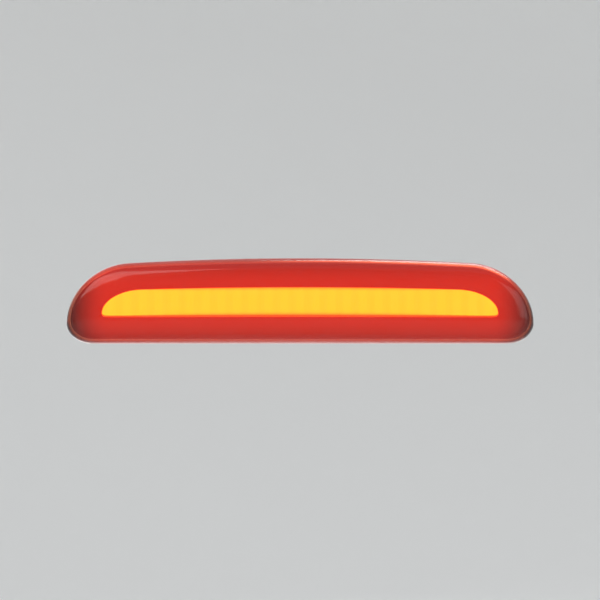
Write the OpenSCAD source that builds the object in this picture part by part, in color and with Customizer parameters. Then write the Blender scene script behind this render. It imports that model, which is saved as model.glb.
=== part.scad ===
// High-mounted third brake light for a van tailgate, as an assembly of its real pieces.
//
// Frame: +Z is up, -Y is the way the light shines, and +X is to the right of someone facing the lens.
// The origin is the centre of the plane y = 0, where the rubber gasket seats on the tailgate skin.
// The lens stands out of the skin at -Y. The tub behind it sits in the skin's cut-out at +Y, and two
// studs on its back go through the inner panel. All sizes are in millimetres.

/* [Lens] */
// Width of the lens over its ends
lens_w = 280; // [270:1:300]
// Height of the lens
lens_h = 51; // [50:1:56]
// Height of the widest point above the bottom edge
lens_widest = 12; // [11:0.5:13]
// Length of each long top corner
lens_top_corner = 37; // [34:1:44]
// Length of each short bottom corner
lens_low_corner = 16; // [14:1:20]
// Fall of the arched top edge from its middle to the ends
lens_crown = 5.5; // [3:0.1:6]
// How far the middle of the lens stands out of the tailgate skin
lens_depth = 24; // [22:0.5:27]
// How far the ends of the lens front lie behind its middle
lens_bow = 5; // [2:0.5:6]
// Wall thickness of the lens
lens_wall = 2.4; // [2:0.1:2.6]

/* [Light bar] */
// Width of the glowing bar
bar_w = 237; // [230:1:238]
// Height of the glowing bar
bar_h = 17.1; // [15:0.1:18]
// Length of each tapered end of the bar
bar_corner = 24; // [20:1:28]
// Fall of the bar's top edge from its middle to the ends
bar_crown = 2.2; // [0:0.1:2.6]

/* [Housing] */
// Width of the tub that enters the tailgate
tub_w = 250; // [249:1:256]
// Height of the tub that enters the tailgate
tub_h = 38.5; // [38.5:0.1:39.5]
// Depth of the tub behind the skin
tub_depth = 18; // [18:0.5:22]
// Wall thickness of the housing
wall = 2.2; // [2:0.1:2.4]

/* [Fixings] */
// Distance between the two studs
stud_spacing = 184; // [160:1:190]
// Diameter of the plain collar that passes through the inner panel
collar_d = 7; // [7:0.1:8]
// Thickness of panel that the collar spans
grip = 3; // [2:0.5:4]
// Length of stud thread behind the collar
thread_length = 13; // [11:0.5:20]
// Width of the nuts across their flats
nut_af = 10; // [10:0.5:11]

/* [Electronics] */
// Number of LEDs in the row
led_count = 24; // [12:2:24]

/* [Hidden] */

$fn = 48;
corner_steps = 9;      // points along a rounded corner of an outline
overlap = 0.5;         // how far a cutting solid runs past the face that it opens
joint_gap = 0.05;      // gap between pieces that only just don't touch
sunk = 0.5;            // how far a rib or boss reaches into the wall that it stands on

// Outlines: [half width, bottom, top, height of the widest point, top corner, low corner, crown].
lens_outline = [
    lens_w / 2, -lens_h / 2, lens_h / 2, lens_widest - lens_h / 2,
    lens_top_corner, lens_low_corner, lens_crown
];
bar_middle = -0.75;    // height of the middle of the light bar, and of the LED row behind it
bar_outline = [
    bar_w / 2, bar_middle - bar_h / 2, bar_middle + bar_h / 2, bar_middle - bar_h / 2 + 1.5,
    bar_corner, 2.5, bar_crown
];
tub_outline = [
    tub_w / 2, -tub_h / 2 - 0.25, tub_h / 2 - 0.25, -tub_h / 2 + 7.25, 28, 12, 0
];

// Stations through the depth, from the lens to the studs.
lens_front = -lens_depth;              // middle of the lens
lens_round_in = 19;                    // width of the rounded border around the lens front
skirt_front = -10;                     // where the straight skirt of the lens ends
lens_base = -5.5;                      // lens skirt on the housing flange
rib_front = -9.4;                      // front of the weld rib inside the skirt
gasket_t = 2.5;                        // compressed thickness of the gasket, from y = 0
bezel_t = 1.5;
bezel_deep = -6.9;                     // bezel at the light bar
bezel_land = rib_front - bezel_t;      // flat rim of the bezel on the weld rib
bar_foot = -3.2;                       // back of the light bar, on the walls of the tray
bar_shoulder = -13;                    // where the straight sides of the light bar end
bar_front = -16.6;
bar_wall = 2.6;
bar_lip = 1.9;                         // how far the foot stands out around the light bar
bar_lip_t = 1.8;
bar_round_in = 6.2;                    // width of the rounded border around the bar's front
tray_front = 2.9;                      // front of the tray's floor
tray_t = 2;
board_front = 7;
board_t = 1.6;
board_back = board_front + board_t;
tub_back = tub_depth;                  // outer face of the tub's back wall
tub_floor = tub_depth - wall;          // inner face of the tub's back wall
boss_end = tub_back + 4;               // seat of the inner panel
collar_end = boss_end + grip;
stud_end = collar_end + thread_length;

// Radial and wall sizes.
rib_out = 3.2;                         // inset of the weld rib's outer face
rib_in = 5.2;                          // inset of its inner face
tray_gap = 0.3;                        // room between the light bar and the tray's walls
tray_wall = 1.8;
screw_r = 1.25;
screw_hole_r = screw_r + 0.15;
screw_head_r = 2.5;
screw_head_t = 1.9;
screw_length = 10.5;
post_r = 3.2;
boss_r = 9;
stud_root_r = 4;
stud_head_r = 5.7;
stud_head_t = 2;
thread_r = 2.9;
running = 0.06;                        // radial clearance of the parts that turn
washer_r = 7;
washer_t = 1.4;
vent_hole_r = 2.5;
vent_boss_r = 5.5;
vent_end = tub_back + 5;               // end of the vent boss, under the membrane
peg_r = 3;
peg_length = 9;                        // plain length of the locating peg
peg_end = tub_back + peg_length + 2;   // end of its tapered tip
neck_r = 4.3;                          // neck of the nut, inside its captive washer
lip_r = 4.9;                           // swaged lip that keeps the washer on
nut_h = 5;

// Places on the board and on the back of the tub, as [x, z].
tray_screws_at = [for (side = [-1, 1], p = [[45, 13.4], [45, -13.9], [108, 10.4]]) [side * p[0], p[1]]];
hooks_at = [-70, 0, 70];
led_pitch = 9.4 * 23 / (led_count - 1);
leds_at = [for (i = [0 : led_count - 1]) (i - (led_count - 1) / 2) * led_pitch];
resistors_at = [for (i = [0 : 5]) [54 + 6 * i, 8]];
terminal_top = 13.6;                   // height where the terminals pass through the board
vent_x = 28;
peg_x = 64;

// Socket for the vehicle's two-way plug.
socket_x = -30;
socket_in = [13.8, 8.8];               // width and height of its cavity
socket_wall = 1.6;
socket_length = 15;                    // how far it stands out of the tub
socket_depth = 14;
blade = [0.8, 2.2];                    // thickness and width of a terminal
blade_gap = 5.2;                       // distance between the two terminals
blade_length = 9.5;                    // how far the blades reach behind the tub

// ---- Outlines -------------------------------------------------------------------------------

// The outline o moved inwards by d, or outwards for a negative d.
function inset(o, d) = [
    o[0] - d, o[1] + d, o[2] - d, max(o[3] + d / 2, o[1] + d + 1),
    max(o[4] - d, 1), max(o[5] - d, 0.8), o[6] * pow((o[0] - d) / o[0], 2)
];

// The x stations from the middle to the right-hand tip.
function half_stations(o) = concat(
    [for (i = [0 : 2]) (o[0] - o[4]) * i / 3],
    [for (j = [0 : corner_steps]) o[0] - o[4] + o[4] * sin(90 * j / corner_steps)]
);
function stations(o) = let (h = half_stations(o), n = len(h))
    concat([for (i = [n - 1 : -1 : 1]) -h[i]], h);

// Heights of the lower and upper edges at x, with elliptical corners.
function low_edge(o, x) = let (u = (abs(x) - o[0] + o[5]) / o[5])
    u <= 0 ? o[1] : o[3] - (o[3] - o[1]) * sqrt(max(0, 1 - u * u));
function top_edge(o, x) = let (
        u = max(0, (abs(x) - o[0] + o[4]) / o[4]),
        rise = o[2] - o[3] - o[6] * pow(x / o[0], 2)
    ) o[3] + rise * sqrt(max(0, 1 - u * u));

// Closed list of [x, z] points: the lower edge from left to right, then the upper edge back.
function points(o) = let (xs = stations(o), n = len(xs)) concat(
    [for (x = xs) [x, low_edge(o, x)]],
    [for (i = [n - 2 : -1 : 1]) [xs[i], top_edge(o, xs[i])]]
);

// The outline as 3D points at depth y, with its ends swept back by bow.
function ring(o, d, y, bow = 0) =
    [for (p = points(inset(o, d))) [p[0], y + bow * pow(p[0] / o[0], 2), p[1]]];

// Rings of a rounded front, from its straight side at y0 to its middle at y1. The section is a
// superellipse, so it starts steep at the edge and ends flat. The ends are swept back by bow.
function rounded_front(o, shell, round_in, y0, y1, bow, step) = [
    for (a = [0 : step : 90]) let (across = pow(cos(a), 2 / 3.2), out = pow(sin(a), 2 / 2.2))
        ring(o, shell + round_in * (1 - across), y0 + (y1 - y0) * out, bow * out)
];

// ---- Building blocks ------------------------------------------------------------------------

// Straight solid of an outline between two depths.
module prism(o, y0, y1) {
    translate([0, y1, 0])
        rotate([90, 0, 0])
            linear_extrude(y1 - y0)
                polygon(points(o));
}

// Straight wall between two insets of an outline.
module frame_wall(o, outer, inner, y0, y1) {
    difference() {
        prism(inset(o, outer), y0, y1);
        prism(inset(o, inner), y0 - overlap, y1 + overlap);
    }
}

// Box between two corners.
module block(low, high) {
    translate(low) cube(high - low);
}

// Round solid on an axis along Y at [x, z], from its [radius, y] profile.
module turned(at, profile) {
    translate([at[0], 0, at[1]])
        rotate([-90, 0, 0])
            rotate_extrude()
                polygon(profile);
}

// Cylinder, or cone, along Y at [x, z].
module rod(at, r, y0, y1, r_end = -1) {
    translate([at[0], y0, at[1]])
        rotate([-90, 0, 0])
            cylinder(h = y1 - y0, r1 = r, r2 = r_end < 0 ? r : r_end);
}

function as_triangles(quads) = [for (q = quads, t = [[q[0], q[1], q[2]], [q[0], q[2], q[3]]]) t];

// Solid through a list of rings, from back to front, closed by strips between the two edges.
module loft(rings) {
    count = len(rings[0]);
    last = len(rings) - 1;
    half = count / 2;
    front = last * count;
    sides = [
        for (r = [0 : last - 1], i = [0 : count - 1]) let (j = (i + 1) % count)
            [r * count + i, (r + 1) * count + i, (r + 1) * count + j, r * count + j]
    ];
    inner = [for (i = [1 : half - 2]) [i, i + 1, count - i - 1, count - i]];
    tips = [[0, 1, count - 1], [half - 1, half, half + 1]];
    flat = concat(as_triangles(inner), tips);
    polyhedron(
        points = [for (r = rings, p = r) p],
        faces = concat(
            as_triangles(sides),
            flat,
            [for (t = flat) [front + t[2], front + t[1], front + t[0]]]
        ),
        convexity = 6
    );
}

// Ring-shaped solid whose section goes once round the list of rings.
module ring_loft(rings) {
    count = len(rings[0]);
    n = len(rings);
    sides = [
        for (r = [0 : n - 1], i = [0 : count - 1]) let (j = (i + 1) % count, s = (r + 1) % n)
            [r * count + i, r * count + j, s * count + j, s * count + i]
    ];
    polyhedron(
        points = [for (r = rings, p = r) p],
        faces = as_triangles(sides),
        convexity = 6
    );
}

// ---- Lens and optics ------------------------------------------------------------------------

// Rings of the lens: a straight skirt and a rounded front. A shell above 0 gives the hollow
// inside, which is open at the base.
function lens_rings(shell) = concat(
    [ring(lens_outline, shell, lens_base + (shell > 0 ? overlap : 0))],
    rounded_front(lens_outline, shell, lens_round_in, skirt_front, lens_front + shell, lens_bow, 9)
);

module outer_lens() {
    color([0.78, 0.05, 0.04, 0.55])
        difference() {
            loft(lens_rings(0));
            loft(lens_rings(lens_wall));
        }
}

// Bead of sealant between the lens skirt and the weld rib.
module lens_seal() {
    color("#2a2a2c")
        frame_wall(lens_outline, lens_wall + joint_gap, rib_out - joint_gap, rib_front + 0.6, lens_base);
}

// Dish around the light bar. Its rim lies on the weld rib, and its hooks clip the tray.
module bezel() {
    leg_w = 6;
    leg_t = 1.4;
    hook_t = 1.1;
    reach = tray_gap + tray_wall + 0.2;
    leg_front = bezel_deep + 0.6;
    hook_front = tray_front + tray_t + joint_gap;
    leg_back = hook_front + 1.2;
    near = points(inset(bar_outline, -0.5));
    far = points(inset(lens_outline, rib_in + 0.2));
    slope = [0 : 0.125 : 1];
    function dish(t, back) = [
        for (i = [0 : len(near) - 1]) let (p = near[i] * (1 - t) + far[i] * t)
            [p[0], bezel_deep + (bezel_land - bezel_deep) * t * t + back, p[1]]
    ];
    rim = rib_out - 0.4;
    color([0.62, 0.08, 0.07]) {
        union() {
            ring_loft(concat(
                [for (t = slope) dish(t, 0)],
                [ring(lens_outline, rim, bezel_land), ring(lens_outline, rim, rib_front)],
                [for (t = slope) dish(1 - t, bezel_t)]
            ));
            for (x = hooks_at) {
                top = top_edge(bar_outline, x) + reach;
                block([x - leg_w / 2, leg_front, top], [x + leg_w / 2, leg_back, top + leg_t]);
                block(
                    [x - leg_w / 2, hook_front, top - hook_t],
                    [x + leg_w / 2, leg_back, top + leg_t]
                );
                low = bar_outline[1] - reach;
                block([x - leg_w / 2, leg_front, low - leg_t], [x + leg_w / 2, leg_back, low]);
                block(
                    [x - leg_w / 2, hook_front, low - leg_t],
                    [x + leg_w / 2, leg_back, low + hook_t]
                );
            }
        }
    }
}

// Rings of the light bar, for its outside and, with a shell above 0, for its hollow.
function bar_rings(shell, back) = concat(
    [ring(bar_outline, shell, back), ring(bar_outline, shell, bezel_deep)],
    rounded_front(
        bar_outline, shell, bar_round_in - shell, bar_shoulder, bar_front + shell,
        lens_bow * 0.8, 15
    )
);

// Hollow diffuser that glows: a domed bar on a foot, which the bezel keeps on the tray.
module light_bar() {
    color([1, 0.78, 0.22])
        difference() {
            union() {
                prism(inset(bar_outline, -bar_lip), bar_foot - bar_lip_t, bar_foot);
                loft(bar_rings(0, bar_foot - overlap));
            }
            loft(bar_rings(bar_wall, bar_foot + overlap));
        }
}

// White tray with a conical window over each LED. Its ears are screwed through the board.
module reflector_tray() {
    floor_back = tray_front + tray_t;
    window_r = 4.2;        // in front
    window_back_r = 2.7;   // around the LED
    color("#ece9e2")
        difference() {
            union() {
                frame_wall(bar_outline, -tray_gap - tray_wall, -tray_gap, bar_foot, tray_front);
                prism(inset(bar_outline, -tray_gap - tray_wall), tray_front, floor_back);
                for (at = tray_screws_at) {
                    rod(at, post_r, tray_front, board_front);
                    block(
                        [at[0] - post_r, tray_front, min(0, at[1])],
                        [at[0] + post_r, floor_back, max(0, at[1])]
                    );
                }
            }
            for (x = leds_at)
                rod([x, bar_middle], window_r, tray_front - 0.01, floor_back + 0.01, window_back_r);
            for (at = tray_screws_at)
                rod(at, screw_hole_r, tray_front - overlap, board_front + overlap);
        }
}

// Pan-head screws that hold the tray and the board on the posts of the housing.
module tray_screws() {
    recess_r = 1.3;
    color("#b9bbbf")
        for (at = tray_screws_at) {
            difference() {
                turned(at, [
                    [0, tray_front - screw_head_t], [screw_head_r - 0.8, tray_front - screw_head_t],
                    [screw_head_r, tray_front - screw_head_t + 0.9], [screw_head_r, tray_front],
                    [screw_r, tray_front], [screw_r, tray_front + screw_length - 1],
                    [0, tray_front + screw_length]
                ]);
                for (turn = [0, 90])
                    translate([at[0], tray_front - screw_head_t, at[1]])
                        rotate([0, turn, 0])
                            cube([recess_r * 2, 2, 0.6], center = true);
            }
        }
}

// ---- Electronics ----------------------------------------------------------------------------

module led_board() {
    color("#1f6b3a")
        difference() {
            prism(inset(tub_outline, wall + 0.6), board_front, board_back);
            for (at = tray_screws_at)
                rod(at, screw_hole_r, board_front - overlap, board_back + overlap);
            for (side = [-1, 1])
                translate([socket_x + side * blade_gap / 2, board_front + board_t / 2, terminal_top])
                    cube([blade[0] + 0.1, board_t + 1, blade[1] + 0.1], center = true);
        }
}

// White plastic bodies of the LEDs, each with a shallow cup.
module led_packages() {
    color("#f4f2ea")
        for (x = leds_at)
            difference() {
                block(
                    [x - 1.75, board_front - 1.3, bar_middle - 1.4],
                    [x + 1.75, board_front, bar_middle + 1.4]
                );
                rod([x, bar_middle], 1.2, board_front - 1.4, board_front - 0.8);
            }
}

// Silicone domes that fill the cups of the LEDs.
module led_domes() {
    cup_floor = board_front - 0.8;
    color([0.95, 0.75, 0.2])
        for (x = leds_at)
            turned([x, bar_middle], [
                [0, cup_floor], [1.2, cup_floor], [1.2, board_front - 1.3],
                [0.9, board_front - 1.6], [0.5, board_front - 1.8], [0, board_front - 1.85]
            ]);
}

// Flat chip resistors on the back of the board.
module series_resistors() {
    color("#26262a")
        for (at = resistors_at)
            block([at[0] - 1.6, board_back, at[1] - 3.2], [at[0] + 1.6, board_back + 0.6, at[1] + 3.2]);
}

// Power package: moulded body, metal tab and three legs.
module current_regulator() {
    x = 8;
    z = -3;
    color("#303034")
        union() {
            block([x - 3.3, board_back + 0.2, z - 3], [x + 3.3, board_back + 2.4, z + 3]);
            block([x - 2.7, board_back, z + 2], [x + 2.7, board_back + 0.5, z + 5.4]);
            for (leg = [-2.28, 0, 2.28])
                block([x + leg - 0.4, board_back, z - 5.6], [x + leg + 0.4, board_back + 0.5, z - 2.5]);
        }
}

// Aluminium can on its square plastic base.
module input_capacitor() {
    x = -8;
    z = -4;
    color("#9fa3a8")
        union() {
            block([x - 3.3, board_back, z - 3.3], [x + 3.3, board_back + 0.8, z + 3.3]);
            turned([x, z], [
                [0, board_back + 0.5], [3.15, board_back + 0.5], [3.15, board_back + 1.4],
                [2.9, board_back + 1.7], [3.15, board_back + 2], [3.15, board_back + 5.3],
                [2.8, board_back + 5.7], [0, board_back + 5.7]
            ]);
        }
}

// Rectangular diode with its two folded leads.
module diode(x, z, long, wide, tall) {
    union() {
        block(
            [x - long / 2, board_back + 0.1, z - wide / 2],
            [x + long / 2, board_back + tall, z + wide / 2]
        );
        block(
            [x - long / 2 - 0.7, board_back, z - wide / 4],
            [x + long / 2 + 0.7, board_back + 0.4, z + wide / 4]
        );
    }
}

module reverse_diode() {
    color("#202024") diode(-20, 9, 4.3, 2.6, 2.2);
}

module surge_suppressor() {
    color("#202024") diode(-8, 9, 4.6, 3.6, 2.4);
}

// Bent blade: a contact in the socket, a strip up the inside of the tub and a tail in the board.
module terminal(x) {
    strip_y = board_back + 2;
    tail_front = board_front - 1.2;
    half_t = blade[0] / 2;
    half_w = blade[1] / 2;
    tip = tub_back + blade_length;
    left = x - half_t;
    right = x + half_t;
    color("#c9b06a")
        difference() {
            union() {
                block([left, strip_y, -half_w], [right, tip, half_w]);
                block([left, strip_y, -half_w], [right, strip_y + blade[1], terminal_top + half_w]);
                block(
                    [left, tail_front, terminal_top - half_w],
                    [right, strip_y + blade[1], terminal_top + half_w]
                );
            }
            for (side = [-1, 1])
                translate([x, tip, side * half_w])
                    rotate([45, 0, 0])
                        cube([blade[0] + 1, 1, 1], center = true);
        }
}

module positive_terminal() {
    terminal(socket_x + blade_gap / 2);
}

module negative_terminal() {
    terminal(socket_x - blade_gap / 2);
}

// Fillets that join the terminal tails to the front of the board.
module solder_joints() {
    color("#c4c7cc")
        for (side = [-1, 1]) {
            x = socket_x + side * blade_gap / 2;
            difference() {
                rod([x, terminal_top], 1.3, board_front - 1, board_front, 2);
                block(
                    [x - blade[0] / 2, board_front - 3, terminal_top - blade[1] / 2],
                    [x + blade[0] / 2, board_front + 1, terminal_top + blade[1] / 2]
                );
            }
        }
}

// ---- Housing and its fittings ---------------------------------------------------------------

// Long and short stiffening ribs on the back wall.
module back_ribs() {
    rib_h = 2;
    rib_t = 1.5;
    pitch = 16;
    outermost = 104;
    edge_gap = 2.5;
    end_rib_top = 10;      // the rounded corners of the tub cut the outermost ribs short
    top = tub_outline[2] - edge_gap;
    low = tub_outline[1] + edge_gap;
    front = tub_back - sunk;
    back = tub_back + rib_h;
    for (z = [-11, 10.5])
        block([-outermost - 2, front, z - rib_t / 2], [outermost + 2, back, z + rib_t / 2]);
    for (x = [-outermost : pitch : outermost])
        block([x - rib_t / 2, front, low], [x + rib_t / 2, back, abs(x) < outermost ? top : end_rib_top]);
}

// Boss around a stud, with four webs that brace it.
module stud_boss(x) {
    web_t = 1.8;
    web_h = 2.5;
    web_reach = 4;         // how far the webs stand out of the boss
    rod([x, 0], boss_r, tub_floor - 2, boss_end);
    for (turn = [45 : 90 : 315])
        translate([x, tub_back, 0])
            rotate([0, turn, 0])
                block([0, -sunk, -web_t / 2], [boss_r + web_reach, web_h, web_t / 2]);
}

// Shell of the socket, with the ramp that the plug's latch clips over.
module socket_shell() {
    half_x = socket_in[0] / 2 + socket_wall;
    half_z = socket_in[1] / 2 + socket_wall;
    mouth = tub_back + socket_length;
    ramp_w = 5;
    ramp_h = 1.6;
    ramp_end = mouth - 0.5;
    ramp_start = mouth - 6;
    translate([socket_x, 0, 0]) {
        block([-half_x, tub_back - sunk, -half_z], [half_x, mouth, half_z]);
        translate([-ramp_w / 2, 0, half_z])
            rotate([90, 0, 90])
                linear_extrude(ramp_w)
                    polygon([[ramp_start, 0], [ramp_start, ramp_h], [ramp_end, 0]]);
    }
}

// Cavity of the socket and the slots that the terminals are pressed into.
module socket_cavity() {
    mouth = tub_back + socket_length;
    block(
        [socket_x - socket_in[0] / 2, mouth - socket_depth, -socket_in[1] / 2],
        [socket_x + socket_in[0] / 2, mouth + 1, socket_in[1] / 2]
    );
    for (side = [-1, 1]) {
        x = socket_x + side * blade_gap / 2;
        block(
            [x - blade[0] / 2, tub_floor - 1, -blade[1] / 2],
            [x + blade[0] / 2, mouth - socket_depth + 1, blade[1] / 2]
        );
    }
}

module housing() {
    color("#1d1d20")
        difference() {
            union() {
                difference() {
                    union() {
                        prism(inset(lens_outline, 0.3), lens_base, -gasket_t);
                        frame_wall(lens_outline, rib_out, rib_in, rib_front, lens_base + 0.5);
                        prism(tub_outline, lens_base + 0.5, tub_back);
                        back_ribs();
                        socket_shell();
                        rod([vent_x, 0], vent_boss_r, tub_back - sunk, vent_end);
                        turned([peg_x, 0], [
                            [0, tub_back - sunk], [peg_r, tub_back - sunk],
                            [peg_r, tub_back + peg_length], [peg_r - 1, peg_end], [0, peg_end]
                        ]);
                    }
                    prism(inset(tub_outline, wall), lens_base - 1, tub_floor);
                }
                for (at = tray_screws_at)
                    rod(at, post_r, board_back, tub_floor + 0.5);
                for (side = [-1, 1])
                    stud_boss(side * stud_spacing / 2);
            }
            for (at = tray_screws_at)
                rod(at, screw_r, board_back - 1, tub_floor);
            for (side = [-1, 1])
                rod([side * stud_spacing / 2, 0], stud_root_r, tub_floor - 3, boss_end + 1);
            socket_cavity();
            rod([vent_x, 0], vent_hole_r, tub_floor - 1, vent_end + 1);
        }
}

// Water-tight, breathing disc on the end of the vent boss.
module vent_membrane() {
    color("#e6e6e0") rod([vent_x, 0], vent_boss_r - 0.9, vent_end, vent_end + 0.3);
}

// Cap that shields the vent. Grooves inside its skirt let the air out.
module vent_cap() {
    skirt = vent_end - 2.4;
    top = vent_end + 2.5;
    cap_r = vent_boss_r + 1.9;
    roof = top - 1.4;
    color("#141416")
        difference() {
            turned([vent_x, 0], [
                [vent_boss_r, skirt], [cap_r, skirt], [cap_r, top - 1.2], [cap_r - 1.2, top],
                [0, top], [0, roof], [vent_boss_r, roof]
            ]);
            for (turn = [0 : 60 : 300])
                translate([vent_x, 0, 0])
                    rotate([0, turn, 0])
                        block([vent_boss_r - 0.5, skirt - 1, -0.8], [vent_boss_r + 0.8, roof, 0.8]);
        }
}

// Moulded rubber gasket around the tub, pressed to its working thickness.
module body_gasket() {
    color("#2e2e30")
        difference() {
            prism(inset(lens_outline, 1.5), -gasket_t, 0);
            prism(inset(tub_outline, -0.5), -gasket_t - overlap, overlap);
        }
}

// Moulded-in studs: head, root, plain collar, and a plain cylinder that stands for the thread.
module studs() {
    head_front = tub_floor - 2 - stud_head_t;
    chamfer = 0.8;
    color("#c9ccd1")
        for (side = [-1, 1])
            turned([side * stud_spacing / 2, 0], [
                [0, head_front], [stud_head_r, head_front], [stud_head_r, head_front + stud_head_t],
                [stud_root_r, head_front + stud_head_t], [stud_root_r, boss_end],
                [collar_d / 2, boss_end], [collar_d / 2, collar_end], [thread_r, collar_end],
                [thread_r, stud_end - chamfer], [thread_r - chamfer, stud_end], [0, stud_end]
            ]);
}

// Captive washer that stays still against the panel while its nut turns.
module washer(x) {
    recess = 0.5;
    color("#c2b48a")
        turned([x, 0], [
            [lip_r + 0.2, collar_end], [washer_r - 0.3, collar_end], [washer_r, collar_end + 0.3],
            [washer_r, collar_end + washer_t - 0.3], [washer_r - 0.3, collar_end + washer_t],
            [neck_r + running, collar_end + washer_t], [neck_r + running, collar_end + recess],
            [lip_r + 0.2, collar_end + recess]
        ]);
}

// Hexagon nut with the necked lip that holds its washer.
module nut(x) {
    seat = collar_end + washer_t + joint_gap;
    corner_r = nut_af / 2 / cos(30);
    color("#b8a878")
        difference() {
            union() {
                turned([x, 0], [
                    [0, collar_end + 0.1], [lip_r, collar_end + 0.1], [lip_r, collar_end + 0.4],
                    [neck_r, collar_end + 0.4], [neck_r, seat + 0.2], [0, seat + 0.2]
                ]);
                intersection() {
                    translate([x, seat, 0])
                        rotate([-90, 0, 0])
                            cylinder(h = nut_h, r = corner_r, $fn = 6);
                    turned([x, 0], [
                        [0, seat], [corner_r + 0.1, seat], [corner_r + 0.1, seat + nut_h - 0.6],
                        [nut_af / 2 - 0.1, seat + nut_h], [0, seat + nut_h]
                    ]);
                }
            }
            rod([x, 0], thread_r + running, collar_end - 1, seat + nut_h + 1);
        }
}

module left_washer() {
    washer(-stud_spacing / 2);
}

module right_washer() {
    washer(stud_spacing / 2);
}

module left_nut() {
    nut(-stud_spacing / 2);
}

module right_nut() {
    nut(stud_spacing / 2);
}

// ---- Assembly -------------------------------------------------------------------------------

outer_lens();
lens_seal();
bezel();
light_bar();
reflector_tray();
tray_screws();
led_board();
led_packages();
led_domes();
series_resistors();
current_regulator();
input_capacitor();
reverse_diode();
surge_suppressor();
positive_terminal();
negative_terminal();
solder_joints();
housing();
vent_membrane();
vent_cap();
body_gasket();
studs();
left_washer();
right_washer();
left_nut();
right_nut();
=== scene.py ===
"""A lit third brake light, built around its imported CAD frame.

Every size is in metres. +Z is up, the light shines along -Y, and +X is to the right of someone
facing the lens. Places come from the boxes of the CAD nodes, and the sizes named below are the
CAD model's own.
"""

import math
from dataclasses import dataclass

import bmesh
import bpy
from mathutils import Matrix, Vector


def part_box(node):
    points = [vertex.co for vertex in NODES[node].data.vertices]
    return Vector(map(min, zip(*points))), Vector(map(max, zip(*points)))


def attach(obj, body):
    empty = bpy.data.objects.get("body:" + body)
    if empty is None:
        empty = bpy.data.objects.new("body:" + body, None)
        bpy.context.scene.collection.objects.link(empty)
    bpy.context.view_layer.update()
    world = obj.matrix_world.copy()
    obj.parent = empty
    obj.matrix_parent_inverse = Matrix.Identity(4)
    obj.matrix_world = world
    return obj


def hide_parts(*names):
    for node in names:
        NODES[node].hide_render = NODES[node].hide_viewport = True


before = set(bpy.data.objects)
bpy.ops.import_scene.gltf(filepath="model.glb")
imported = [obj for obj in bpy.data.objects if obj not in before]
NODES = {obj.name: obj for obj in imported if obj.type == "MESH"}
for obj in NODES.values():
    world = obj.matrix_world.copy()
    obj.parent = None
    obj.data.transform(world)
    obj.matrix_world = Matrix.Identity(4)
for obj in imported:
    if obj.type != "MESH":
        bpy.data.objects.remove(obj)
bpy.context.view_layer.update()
MM = 0.001
MICRON = 1e-6

# ---- Places taken from the frame -------------------------------------------------------------

lens_low, lens_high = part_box("outer_lens")
bar_low, bar_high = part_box("light_bar")
bezel_low, bezel_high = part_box("bezel")
board_low, board_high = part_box("led_board")
gasket_low, gasket_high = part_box("body_gasket")
stud_low, stud_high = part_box("studs")

LED_COUNT = 24
LED_HALF = 1.75 * MM
LED_PITCH = (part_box("led_packages")[1].x - LED_HALF) * 2 / (LED_COUNT - 1)
FOOT = 1.9 * MM  # how far the foot of the light bar stands out around it
BOARD_INSET = 2.8 * MM  # the board's edge, inside the tub's outline
LENS_WALL = 2.4 * MM
BAR_WALL = 2.6 * MM
BAR_LIP_T = 1.8 * MM  # thickness of the foot of the light bar
SKIRT_FRONT = -10 * MM  # where the straight skirt of the lens ends
LENS_ROUND = 19 * MM  # width of the rounded border around the lens front
LENS_BOW = 5 * MM  # how far the ends of the lens front lie behind its middle
BAR_SHOULDER = -13 * MM
BAR_ROUND = 6.2 * MM
BAR_BOW = 4 * MM
DISH_DEEP = -6.9 * MM  # the bezel's front, at the light bar
BEZEL_T = 1.5 * MM


# ---- Outlines --------------------------------------------------------------------------------


@dataclass(frozen=True)
class Outline:
    """A long, low outline with elliptical corners, as seen from the front."""

    half_w: float
    bottom: float
    top: float
    widest: float  # height of the widest point
    corner: float  # length of each top corner
    low_corner: float
    crown: float  # how far the top edge falls from its middle to its ends

    def inset(self, d):
        """The same outline, drawn in by d all round."""
        return Outline(
            self.half_w - d,
            self.bottom + d,
            self.top - d,
            max(self.widest + d / 2, self.bottom + d + MM),
            max(self.corner - d, MM),
            max(self.low_corner - d, 0.8 * MM),
            self.crown * ((self.half_w - d) / self.half_w) ** 2,
        )

    def low(self, x):
        """Height of the bottom edge at x."""
        u = (abs(x) - self.half_w + self.low_corner) / self.low_corner
        if u <= 0:
            return self.bottom
        return self.widest - (self.widest - self.bottom) * math.sqrt(max(0, 1 - u * u))

    def high(self, x):
        """Height of the top edge at x."""
        u = max(0, (abs(x) - self.half_w + self.corner) / self.corner)
        rise = self.top - self.widest - self.crown * (x / self.half_w) ** 2
        return self.widest + rise * math.sqrt(max(0, 1 - u * u))

    def stations(self, straight, corner):
        """x from the left tip to the right tip, closer together round the ends."""
        flat = self.half_w - self.corner
        right = [flat * i / straight for i in range(straight)]
        right += [
            flat + self.corner * math.sin(math.pi / 2 * j / corner)
            for j in range(corner + 1)
        ]
        return [-x for x in right[:0:-1]] + right


LENS = Outline(
    half_w=lens_high.x,
    bottom=lens_low.z,
    top=lens_high.z,
    widest=lens_low.z + 12 * MM,
    corner=37 * MM,
    low_corner=16 * MM,
    crown=5.5 * MM,
)
BAR = Outline(
    half_w=bar_high.x - FOOT,
    bottom=bar_low.z + FOOT,
    top=bar_high.z - FOOT,
    widest=bar_low.z + FOOT + 1.5 * MM,
    corner=24 * MM,
    low_corner=2.5 * MM,
    crown=2.2 * MM,
)
TUB = Outline(
    half_w=board_high.x + BOARD_INSET,
    bottom=board_low.z - BOARD_INSET,
    top=board_high.z + BOARD_INSET,
    widest=board_low.z - BOARD_INSET + 7.5 * MM,
    corner=28 * MM,
    low_corner=12 * MM,
    crown=0,
)


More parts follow.
